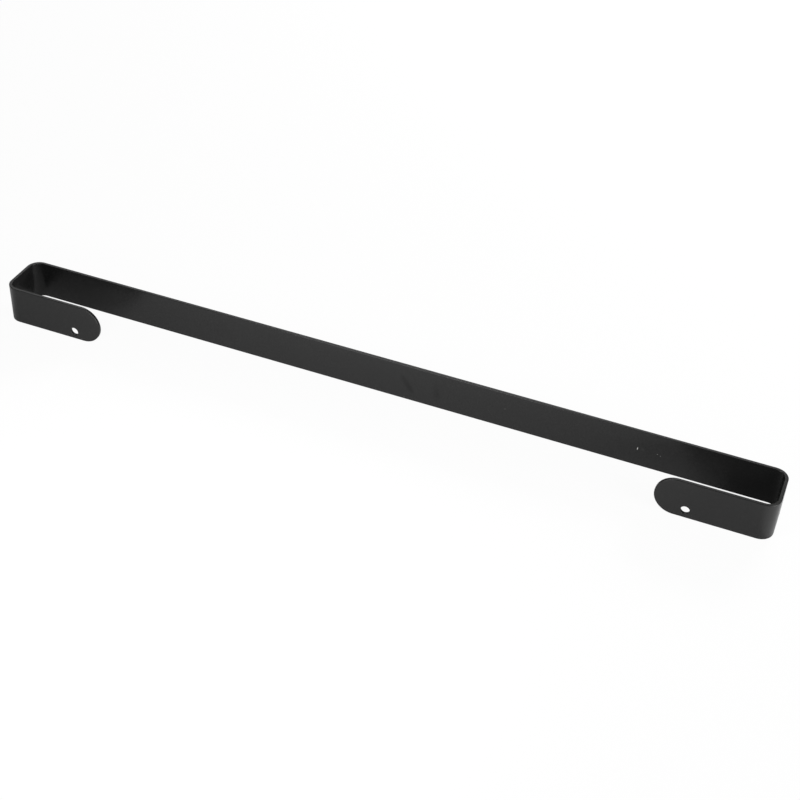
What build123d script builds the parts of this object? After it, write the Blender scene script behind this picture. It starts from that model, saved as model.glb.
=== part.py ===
from build123d import *
import os

# Wall towel bar folded from one flat steel strip that stands on its narrow edge.
# The strip is the bar on the room side, turns back to the wall as two short legs,
# and turns inwards again as two tabs that lie flat on the wall.
# Each tab has a full round tip and one screw hole below the strip's middle line.
# Frame: X along the bar, Y out from the wall, Z up.
# The origin lies on the wall, midway between the screw holes.

# Strip, in millimetres
strip_width = 30.5
strip_thickness = 2.5
edge_round = 0.4

# Folded shape, over the outer faces
bar_length = 600.0
wall_distance = 42.0
tab_length = 83.0
inside_bend_radius = 7.5

# Screw holes
hole_diameter = 6.5
hole_from_tip = 23.0
hole_above_lower_edge = 6.4
hole_edge_round = 0.3

# Sizes that follow from those above
half_length = bar_length / 2
outside_bend_radius = inside_bend_radius + strip_thickness
tip_radius = strip_width / 2
tip_x = half_length - tab_length
hole_x = tip_x + hole_from_tip
lower_edge = -hole_above_lower_edge
middle_line = lower_edge + strip_width / 2

# Roundings from both faces must not meet inside the strip's thickness
largest_round = strip_thickness / 3
edge_radius = min(edge_round, largest_round)
hole_edge_radius = min(hole_edge_round, largest_round)

# Lengths closer than this count as equal
tolerance = 1e-6

wall_plane = Plane.XZ
mirror_plane = Plane.YZ


def face_line(inset):
    """Plan line of one face of the strip, from tip to tip, set in from the outer face."""
    leg_x = half_length - inset
    bar_y = wall_distance - inset
    tab_y = inset
    corners = [
        (-tip_x, tab_y),
        (-leg_x, tab_y),
        (-leg_x, bar_y),
        (leg_x, bar_y),
        (leg_x, tab_y),
        (tip_x, tab_y),
    ]
    return FilletPolyline(*corners, radius=outside_bend_radius - inset)


def folded_strip():
    """The bent strip at full width, with square ends and sharp edges."""
    outer_line = face_line(0)
    inner_line = face_line(strip_thickness)
    left_end = Line(outer_line @ 0, inner_line @ 0)
    right_end = Line(outer_line @ 1, inner_line @ 1)
    plan = make_face([*outer_line.edges(), *inner_line.edges(), left_end, right_end])
    return Pos(0, 0, lower_edge) * extrude(plan, strip_width)


def through_right_tab(outline):
    """A cutter with the given outline, drawn on the wall plane, that passes through the right tab alone."""
    return extrude(wall_plane * outline, strip_thickness, both=True)


def tip_corners():
    """The two corners that leave a full round tip when they are cut from the square end."""
    square_end = Rectangle(tip_radius, strip_width, align=(Align.MAX, Align.CENTER))
    corners = square_end - Circle(tip_radius)
    return through_right_tab(Pos(tip_x + tip_radius, middle_line) * corners)


def screw_hole():
    """The drill's path."""
    return through_right_tab(Pos(hole_x, 0) * Circle(hole_diameter / 2))


def at_both_ends(cutter):
    """A cutter for the right tab, and its mirror image for the left one."""
    return [cutter, mirror(cutter, mirror_plane)]


def outline_edges(strip):
    """The outlines of the strip's two faces, without the seams across its width or through its thickness."""
    across = strip.edges().filter_by(Axis.Z)
    along_y = strip.edges().filter_by(Axis.Y)
    through = along_y.filter_by(lambda edge: edge.length < strip_thickness + tolerance)
    return strip.edges() - across - through


def hole_edges(bar):
    """The rims of the screw holes on both faces."""
    circles = bar.edges().filter_by(GeomType.CIRCLE)
    return circles.filter_by(lambda edge: abs(edge.radius - hole_diameter / 2) < tolerance)


def towel_bar():
    """The finished bar: strip bent, tips rounded, edges broken, holes drilled."""
    strip = folded_strip() - at_both_ends(tip_corners())
    bar = fillet(outline_edges(strip), edge_radius)
    bar -= at_both_ends(screw_hole())
    return fillet(hole_edges(bar), hole_edge_radius)


os.makedirs("parts", exist_ok=True)
export_step(towel_bar(), "parts/towel_bar.step")
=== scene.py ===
import math

import bpy
from bpy.props import FloatProperty, FloatVectorProperty, PointerProperty
from mathutils import Matrix, Vector


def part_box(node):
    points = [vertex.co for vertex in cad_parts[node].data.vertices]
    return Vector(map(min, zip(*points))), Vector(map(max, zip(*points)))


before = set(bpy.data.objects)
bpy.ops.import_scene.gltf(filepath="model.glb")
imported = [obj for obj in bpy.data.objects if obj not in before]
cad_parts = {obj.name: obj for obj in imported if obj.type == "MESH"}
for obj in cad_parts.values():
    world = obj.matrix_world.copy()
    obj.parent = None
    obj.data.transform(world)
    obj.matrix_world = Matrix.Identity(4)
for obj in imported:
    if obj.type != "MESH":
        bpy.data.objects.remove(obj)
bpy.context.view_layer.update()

bl_info = {
    "name": "Folded Towel Bar",
    "version": (1, 0, 0),
    "blender": (4, 5, 0),
    "location": "View3D > Sidebar > Towel Bar",
    "description": "Coats a towel bar folded from one steel strip and stages it for a render",
    "category": "Object",
}

BAR_NODE = "towel_bar"
LOWEST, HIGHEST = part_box(BAR_NODE)

MILLIMETRE = 0.001
STRIP_THICKNESS = 2.5 * MILLIMETRE
BAR_INNER_FACE = HIGHEST.y - STRIP_THICKNESS
TAB_WALL_FACE = LOWEST.y

# Layers of ever finer detail in each noise on the coat
PEEL_LAYERS = 1.0
GRAIN_LAYERS = 2.0
DRIFT_LAYERS = 3.0
# Noise runs from 0 to 1 about this middle
NOISE_MIDDLE = 0.5
# Sockets of a Mix node that mixes colours
MIX_FACTOR, MIX_FIRST, MIX_SECOND, MIX_RESULT = 0, 6, 7, 2
WHITE = (1.0, 1.0, 1.0)


class Mark:
    """A soft oval mark on one face of the coat.

    Its middle lies so far along the bar and so high, and it reaches so far to each side, all in
    millimetres. It leans in degrees from upright and has a strength from 0 to 1, which is even
    over its core, a share of its reach.
    """

    def __init__(self, x, face, z, half_width, half_height, lean=0.0, core=0.0, strength=1.0):
        self.middle = (x * MILLIMETRE, face, z * MILLIMETRE)
        # Half the thickness deep, so that the mark doesn't come through on the strip's other face
        self.reach = (half_width * MILLIMETRE, STRIP_THICKNESS / 2, half_height * MILLIMETRE)
        self.lean = math.radians(lean)
        self.core = core
        self.strength = strength


# Faint dust on the right tab: how far along the bar and how high each speck lies
DUST_PLACES = ((285.0, 7.9), (277.9, 4.2), (266.5, 14.3), (258.3, 18.4))
DUST_REACH = 0.6
DUST_STRENGTH = 0.03
DUST = tuple(
    Mark(x, TAB_WALL_FACE, z, DUST_REACH, DUST_REACH, strength=DUST_STRENGTH)
    for x, z in DUST_PLACES
)
# Pale flecks: one fine upright fleck, a few dots and a pale patch on the bar, then the dust
FLECKS = (
    Mark(194.9, BAR_INNER_FACE, 8.5, 0.27, 1.6, lean=3.0, core=0.5),
    Mark(209.3, BAR_INNER_FACE, 8.2, 0.25, 0.3, core=0.3),
    Mark(211.7, BAR_INNER_FACE, 7.4, 0.2, 0.25, core=0.3),
    Mark(198.7, BAR_INNER_FACE, 8.7, 1.8, 1.8, strength=0.02),
    Mark(95.9, BAR_INNER_FACE, 10.3, 0.25, 0.3, core=0.3, strength=0.6),
    *DUST,
)
# Streaks that leave the coat a little darker on the bar's inner face
STREAKS = (
    Mark(20.1, BAR_INNER_FACE, 7.0, 3.2, 12.5, lean=-35.0, core=0.3),
    Mark(43.0, BAR_INNER_FACE, 7.0, 4.2, 11.5, lean=-8.0, strength=0.7),
)


def length(label, about, metres):
    """A length in metres that a user may change."""
    return FloatProperty(name=label, description=about, default=metres, unit="LENGTH", precision=5)


def share(label, about, part):
    """A part of a whole, from none to all of it."""
    return FloatProperty(
        name=label, description=about, default=part, min=0.0, max=1.0, subtype="FACTOR"
    )


def angle(label, about, degrees):
    """An angle, stated here in degrees."""
    return FloatProperty(
        name=label, description=about, default=math.radians(degrees), unit="ROTATION"
    )


def amount(label, about, value):
    """A plain number with no unit."""
    return FloatProperty(name=label, description=about, default=value, min=0.0, precision=3)


def colour(label, about, red, green, blue):
    """A linear colour."""
    return FloatVectorProperty(
        name=label, description=about, default=(red, green, blue), subtype="COLOR", min=0.0, max=1.0
    )


def place(label, about, metres):
    """A point, or a width and a height, in metres."""
    return FloatVectorProperty(
        name=label, description=about, default=metres, size=len(metres), unit="LENGTH", precision=5
    )


class CoatSettings(bpy.types.PropertyGroup):
    """The satin black powder coat."""

    pigment: colour("Pigment", "Colour of the coat without its gloss", 0.008, 0.008, 0.008)
    gloss_index: amount("Gloss Index", "Refractive index of the cured resin", 1.5)
    roughness: share("Roughness", "Mean roughness of the satin surface", 0.28)
    peel_width: length("Peel Width", "Width of one ripple left when the powder flowed out", 0.0011)
    peel_depth: length("Peel Depth", "Height of those ripples", 0.000008)
    grain_width: length("Grain Width", "Width of the finest grain in the sheen", 0.0004)
    grain_spread: share("Grain Spread", "How far the finest grain moves the roughness", 0.05)
    drift_width: length("Drift Width", "Width of the broad patches where the sheen drifts", 0.035)
    drift_spread: share("Drift Spread", "How far the broad patches move the roughness", 0.04)
    # The pale fleck colour fills the pale flecks on the bar and the dust specks on the right tab
    pale_fleck: colour("Bare", "Colour of the flecks where the coat is chipped or dusty", 0.72, 0.72, 0.7)
    # The streak colour darkens the coat inside the streaks on the bar's inner face
    streak: colour("Streak", "Colour of the coat where a wipe has left a film", 0.001, 0.001, 0.001)


class StageSettings(bpy.types.PropertyGroup):
    """The floor, the lamps and the camera."""

    floor_colour: colour("Floor", "Colour of the pale floor", 0.9, 0.9, 0.9)
    floor_width: length("Floor Width", "Side of the square floor", 200.0)
    white: share("White", "How near to white the camera sees the floor and the surroundings", 0.95)
    reflected: share("Reflected White", "Part of that white that also shows in reflections", 0.1)
    ambient: amount("Ambient", "Even light from all round", 0.04)
    front_level: amount("Front Level", "Light of the front softbox on a face turned to it", 0.92)
    front_azimuth: angle("Front Azimuth", "Way round to the front softbox", -12.0)
    front_elevation: angle("Front Elevation", "Height of the front softbox above the horizon", 27.0)
    front_distance: length("Front Distance", "Distance of the front softbox", 0.38)
    front_size: place("Front Size", "Width and height of the front softbox", (0.3, 0.3))
    side_level: amount("Side Level", "Light of the side softbox on a face turned to it", 0.76)
    side_azimuth: angle("Side Azimuth", "Way round to the side softbox", 75.0)
    side_elevation: angle("Side Elevation", "Height of the side softbox above the horizon", 19.0)
    side_distance: length("Side Distance", "Distance of the side softbox", 1.5)
    side_size: place("Side Size", "Width and height of the side softbox", (0.8, 0.8))
    rim_level: amount("Rim Level", "Light of the rim softbox on a face turned to it", 0.115)
    rim_azimuth: angle("Rim Azimuth", "Way round to the rim softbox", 200.0)
    rim_elevation: angle("Rim Elevation", "Height of the rim softbox above the horizon", 38.0)
    rim_distance: length("Rim Distance", "Distance of the rim softbox", 1.5)
    rim_size: place("Rim Size", "Width and height of the rim softbox", (1.5, 0.4))
    back_level: amount("Back Level", "Light of the back softbox on a face turned to it", 1.1)
    back_azimuth: angle("Back Azimuth", "Way round to the back softbox", 163.0)
    back_elevation: angle("Back Elevation", "Height of the back softbox above the horizon", 22.0)
    back_distance: length("Back Distance", "Distance of the back softbox", 1.5)
    back_size: place("Back Size", "Width and height of the back softbox", (0.8, 0.3))
    azimuth: angle("Camera Azimuth", "Way round from the wall side to the camera", 20.299)
    elevation: angle("Camera Elevation", "Height of the camera above the horizon", 38.411)
    roll: angle("Camera Roll", "Turn of the camera about its own line of sight", 3.096)
    distance: length("Camera Distance", "From the aim to the camera", 1.0831)
    aim: place("Camera Aim", "Point at the middle of the picture", (0.02044, 0.02433, 0.00384))
    lens: FloatProperty(name="Lens", description="Focal length", default=66.691, unit="CAMERA")


class Value:
    """One shader socket; arithmetic on it adds the Math nodes that work it out."""

    def __init__(self, shader, socket):
        self.shader = shader
        self.socket = socket

    def math(self, operation, first, second):
        """A Math node on two values."""
        return self.shader.node("ShaderNodeMath", {"operation": operation}, {0: first, 1: second})

    def output(self, name):
        """Another output of the same node."""
        return Value(self.shader, self.socket.node.outputs[name])

    def __add__(self, other):
        return self.math("ADD", self, other)

    def __sub__(self, other):
        return self.math("SUBTRACT", self, other)

    def __rsub__(self, other):
        return self.math("SUBTRACT", other, self)

    def __mul__(self, other):
        return self.math("MULTIPLY", self, other)

    __radd__ = __add__
    __rmul__ = __mul__


class Shader:
    """The nodes of one material or world, all added by one method."""

    def __init__(self, owner):
        owner.use_nodes = True
        self.tree = owner.node_tree
        self.tree.nodes.clear()

    def node(self, kind, settings, sockets, out=0):
        """Add a node, set its settings, then its sockets, and give back one of its outputs."""
        node = self.tree.nodes.new(kind)
        for name, value in settings.items():
            setattr(node, name, value)
        for name, value in sockets.items():
            if isinstance(value, Value):
                self.tree.links.new(value.socket, node.inputs[name])
            else:
                node.inputs[name].default_value = value
        return Value(self, node.outputs[out]) if node.outputs else None

    def noise(self, point, width, layers):
        """Cloudy values from 0 to 1 whose patches are about so wide."""
        sockets = {"Vector": point, "Scale": 1.0 / width, "Detail": layers}
        return self.node("ShaderNodeTexNoise", {}, sockets, "Fac")

    def swing(self, point, width, layers, spread):
        """Cloudy values that swing about 0, as far as the spread each way."""
        return (self.noise(point, width, layers) - NOISE_MIDDLE) * (spread / NOISE_MIDDLE)

    def mix(self, factor, first, second):
        """A colour between two others."""
        sockets = {MIX_FACTOR: factor, MIX_FIRST: first, MIX_SECOND: second}
        return self.node("ShaderNodeMix", {"data_type": "RGBA"}, sockets, MIX_RESULT)

    def spot(self, point, mark):
        """One soft oval mark: its strength over its core, 0 outside it."""
        sockets = {
            "Vector": point,
            "Location": mark.middle,
            "Rotation": (0.0, mark.lean, 0.0),
            "Scale": mark.reach,
        }
        oval = self.node("ShaderNodeMapping", {"vector_type": "TEXTURE"}, sockets)
        away = self.node("ShaderNodeVectorMath", {"operation": "LENGTH"}, {0: oval}, "Value")
        sockets = {"Value": away, "From Min": 1.0, "From Max": mark.core, "To Max": mark.strength}
        return self.node("ShaderNodeMapRange", {"interpolation_type": "SMOOTHSTEP"}, sockets)

    def spots(self, point, marks):
        """All the marks of one kind together."""
        return sum((self.spot(point, mark) for mark in marks[1:]), self.spot(point, marks[0]))

    def seen(self, reflected):
        """1 where the camera looks straight at a surface, and a smaller share in reflections."""
        straight = self.node("ShaderNodeLightPath", {}, {}, "Is Camera Ray")
        mirrored = straight.output("Is Glossy Ray") + straight.output("Is Transmission Ray")
        return straight + mirrored * reflected


def opaque(tint):
    """A colour with the full alpha that a shader's socket asks for."""
    return (*tint, 1.0)


def powder_coat(coat):
    """Satin black powder coat: rippled, with a sheen that drifts and a fine grain."""
    material = bpy.data.materials.new("satin_black_powder_coat")
    shader = Shader(material)
    point = shader.node("ShaderNodeTexCoord", {}, {}, "Object")
    peel = shader.noise(point, coat.peel_width, PEEL_LAYERS)
    grain = shader.swing(point, coat.grain_width, GRAIN_LAYERS, coat.grain_spread)
    drift = shader.swing(point, coat.drift_width, DRIFT_LAYERS, coat.drift_spread)
    roughness = coat.roughness + grain + drift
    # The streaks darken the pigment inside their ovals on the bar's inner face
    streaked = shader.mix(shader.spots(point, STREAKS), opaque(coat.pigment), opaque(coat.streak))
    pigment = shader.mix(shader.spots(point, FLECKS), streaked, opaque(coat.pale_fleck))
    ripples = {"Distance": coat.peel_depth, "Height": peel}
    normal = shader.node("ShaderNodeBump", {}, ripples, "Normal")
    sockets = {
        "Base Color": pigment,
        "Roughness": roughness,
        "IOR": coat.gloss_index,
        "Normal": normal,
    }
    surface = shader.node("ShaderNodeBsdfPrincipled", {}, sockets)
    shader.node("ShaderNodeOutputMaterial", {}, {"Surface": surface})
    return material


def pale_floor(stage):
    """Matt pale floor that shows white to the camera and in reflections, and keeps its shadow."""
    material = bpy.data.materials.new("pale_floor")
    # The white is there to be seen, so it doesn't count as a lamp
    material.cycles.emission_sampling = "NONE"
    shader = Shader(material)
    seen = shader.seen(stage.reflected)
    matt = shader.node("ShaderNodeBsdfDiffuse", {}, {"Color": opaque(stage.floor_colour)})
    white = shader.node("ShaderNodeEmission", {}, {"Color": opaque(WHITE), "Strength": 1.0})
    surface = shader.node("ShaderNodeMixShader", {}, {0: seen * stage.white, 1: matt, 2: white})
    shader.node("ShaderNodeOutputMaterial", {}, {"Surface": surface})
    return material


def studio_world(stage):
    """Surroundings as white as the floor, that light surfaces more softly than they look."""
    world = bpy.data.worlds.new("studio")
    shader = Shader(world)
    seen = shader.seen(stage.reflected)
    strength = stage.ambient + seen * (stage.white - stage.ambient)
    white = shader.node("ShaderNodeBackground", {}, {"Color": opaque(WHITE), "Strength": strength})
    shader.node("ShaderNodeOutputWorld", {}, {"Surface": white})
    bpy.context.scene.world = world


def floor(stage):
    """One square of pale floor under the bar's lower edge."""
    half = stage.floor_width / 2
    corners = [
        (x, y, LOWEST.z) for x, y in ((-half, -half), (half, -half), (half, half), (-half, half))
    ]
    mesh = bpy.data.meshes.new("floor")
    mesh.from_pydata(corners, [], [range(len(corners))])
    mesh.materials.append(pale_floor(stage))
    plane = bpy.data.objects.new("floor", mesh)
    bpy.context.scene.collection.objects.link(plane)


def direction(azimuth, elevation):
    """Unit vector to a place so far round from the wall side and so high above the horizon."""
    flat = math.cos(elevation)
    return Vector((math.sin(azimuth) * flat, -math.cos(azimuth) * flat, math.sin(elevation)))


def softbox(name, stage):
    """A flat lamp aimed at the bar's middle that lights a face turned to it at its set level."""
    level, azimuth, elevation, distance, size = (
        getattr(stage, f"{name}_{setting}")
        for setting in ("level", "azimuth", "elevation", "distance", "size")
    )
    lamp = bpy.data.lights.new(f"{name}_softbox", "AREA")
    lamp.shape = "RECTANGLE"
    lamp.size, lamp.size_y = size
    # A white face turned to a flat lamp shows the lamp's power over (pi * distance) squared
    lamp.energy = level * (math.pi * distance) ** 2
    holder = bpy.data.objects.new(lamp.name, lamp)
    towards = direction(azimuth, elevation)
    holder.location = (LOWEST + HIGHEST) / 2 + towards * distance
    holder.rotation_euler = towards.to_track_quat("Z", "Y").to_euler()
    holder.visible_camera = False
    bpy.context.scene.collection.objects.link(holder)
    return holder


def camera(stage):
    """The camera at the photograph's viewing angle."""
    lens = bpy.data.cameras.new("camera")
    lens.lens = stage.lens
    eye = bpy.data.objects.new("camera", lens)
    back = direction(stage.azimuth, stage.elevation)
    turn = (-back).to_track_quat("-Z", "Y").to_matrix() @ Matrix.Rotation(stage.roll, 3, "Z")
    eye.location = Vector(stage.aim) + back * stage.distance
    eye.rotation_euler = turn.to_euler()
    bpy.context.scene.collection.objects.link(eye)
    bpy.context.scene.camera = eye


class TOWELBAR_OT_coat(bpy.types.Operator):
    """Give the folded strip its satin black powder coat"""

    bl_idname = "towelbar.coat"
    bl_label = "Coat the Strip"

    def execute(self, context):
        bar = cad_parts[BAR_NODE]
        bar.data.materials.clear()
        bar.data.materials.append(powder_coat(context.scene.towelbar_coat))
        return {"FINISHED"}


class TOWELBAR_OT_stage(bpy.types.Operator):
    """Set the pale floor, the soft lamps and the camera"""

    bl_idname = "towelbar.stage"
    bl_label = "Set the Stage"

    def execute(self, context):
        stage = context.scene.towelbar_stage
        context.scene.view_settings.view_transform = "Standard"
        floor(stage)
        studio_world(stage)
        for name in ("front", "side", "rim"):
            softbox(name, stage)
        # The back lamp lights the floor past the right leg, with no glare of its own on the rims
        softbox("back", stage).visible_glossy = False
        camera(stage)
        return {"FINISHED"}


class TOWELBAR_PT_panel(bpy.types.Panel):
    """The towel bar's pieces and its stage"""

    bl_idname = "TOWELBAR_PT_panel"
    bl_label = "Towel Bar"
    bl_space_type = "VIEW_3D"
    bl_region_type = "UI"
    bl_category = "Towel Bar"

    def draw(self, context):
        for operator, settings in STEPS:
            self.layout.operator(operator.bl_idname)
            group = getattr(context.scene, settings)
            for name in group.bl_rna.properties.keys():
                if name not in ("rna_type", "name"):
                    self.layout.prop(group, name)


SETTINGS = {"towelbar_coat": CoatSettings, "towelbar_stage": StageSettings}
STEPS = ((TOWELBAR_OT_coat, "towelbar_coat"), (TOWELBAR_OT_stage, "towelbar_stage"))
CLASSES = (*SETTINGS.values(), TOWELBAR_OT_coat, TOWELBAR_OT_stage, TOWELBAR_PT_panel)


def register():
    """Register the classes and hang their settings on the scene."""
    for cls in CLASSES:
        bpy.utils.register_class(cls)
    for name, group in SETTINGS.items():
        setattr(bpy.types.Scene, name, PointerProperty(type=group))


def unregister():
    """Undo what register did, last things first."""
    for name in SETTINGS:
        delattr(bpy.types.Scene, name)
    for cls in reversed(CLASSES):
        bpy.utils.unregister_class(cls)


def main():
    """Coat and stage the bar."""
    register()
    bpy.ops.towelbar.coat()
    bpy.ops.towelbar.stage()


if __name__ == "__main__":
    main()
